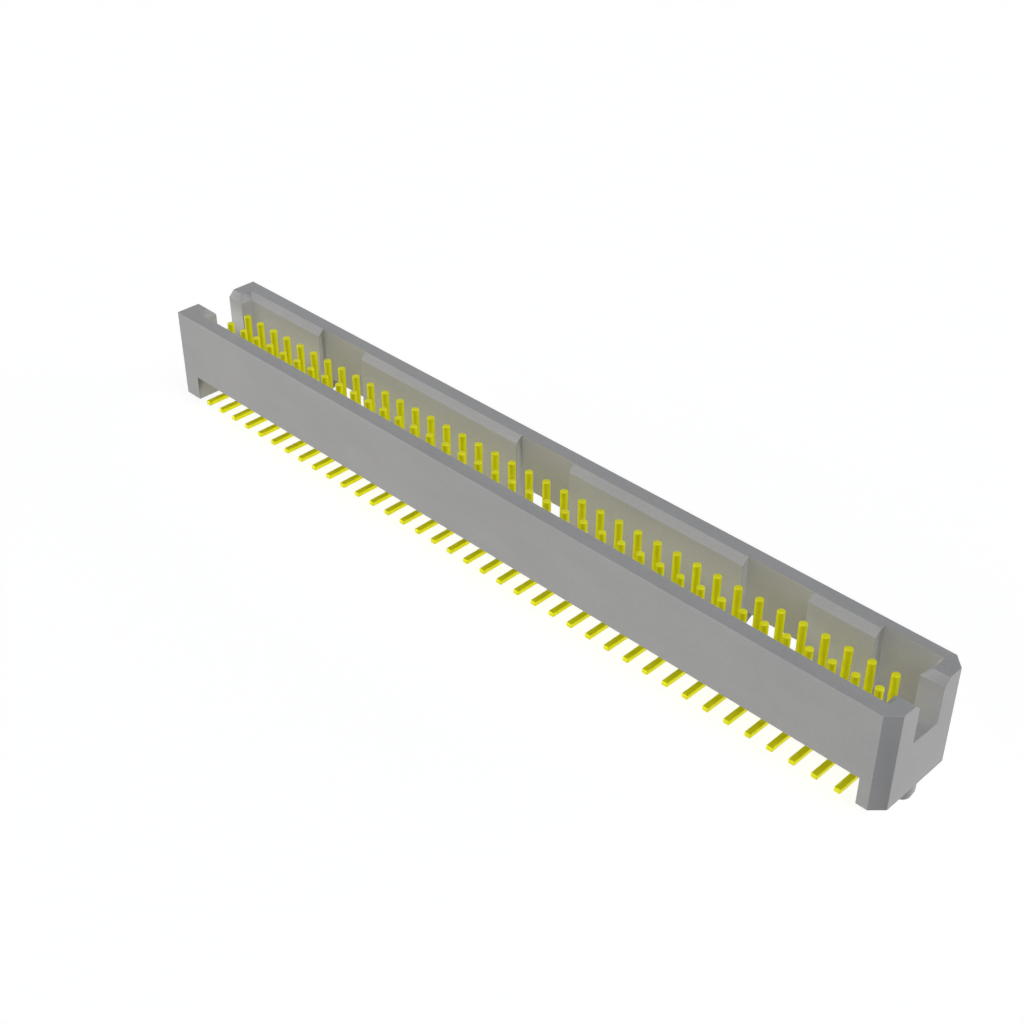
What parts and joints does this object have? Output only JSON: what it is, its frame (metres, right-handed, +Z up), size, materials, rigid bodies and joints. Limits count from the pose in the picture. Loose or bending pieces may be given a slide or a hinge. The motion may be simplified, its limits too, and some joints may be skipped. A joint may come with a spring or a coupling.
{
  "type": "board-to-board pin header",
  "caption": "Shrouded, keyed pin header with rows of round pins, flat formed tails for surface mounting, end notches, feet and alignment pegs.",
  "frame": {"origin": "midway between the two alignment pegs, on the surface of the circuit board that the feet stand on", "axes": "+X along the contact rows towards the end with the cut corners, +Y towards the keyed wall, +Z up out of the board, the way the mating connector leaves"},
  "size_m": [0.0514, 0.0058, 0.0065],
  "materials": {
    "housing": "moulded, satin grey",
    "contacts": "gold plated, smooth"
  },
  "bodies": {
    "root": {"housing": "housing", "contact_pair_01": "contacts", "contact_pair_02": "contacts", "contact_pair_03": "contacts", "contact_pair_04": "contacts", "contact_pair_05": "contacts", "contact_pair_06": "contacts", "contact_pair_07": "contacts", "contact_pair_08": "contacts", "contact_pair_09": "contacts", "contact_pair_10": "contacts", "contact_pair_11": "contacts", "contact_pair_12": "contacts", "contact_pair_13": "contacts", "contact_pair_14": "contacts", "contact_pair_15": "contacts", "contact_pair_16": "contacts", "contact_pair_17": "contacts", "contact_pair_18": "contacts", "contact_pair_19": "contacts", "contact_pair_20": "contacts", "contact_pair_21": "contacts", "contact_pair_22": "contacts", "contact_pair_23": "contacts", "contact_pair_24": "contacts", "contact_pair_25": "contacts", "contact_pair_26": "contacts", "contact_pair_27": "contacts", "contact_pair_28": "contacts", "contact_pair_29": "contacts", "contact_pair_30": "contacts", "contact_pair_31": "contacts", "contact_pair_32": "contacts", "contact_pair_33": "contacts", "contact_pair_34": "contacts", "contact_pair_35": "contacts", "contact_pair_36": "contacts", "contact_pair_37": "contacts", "contact_pair_38": "contacts"}
  },
  "joints": []
}
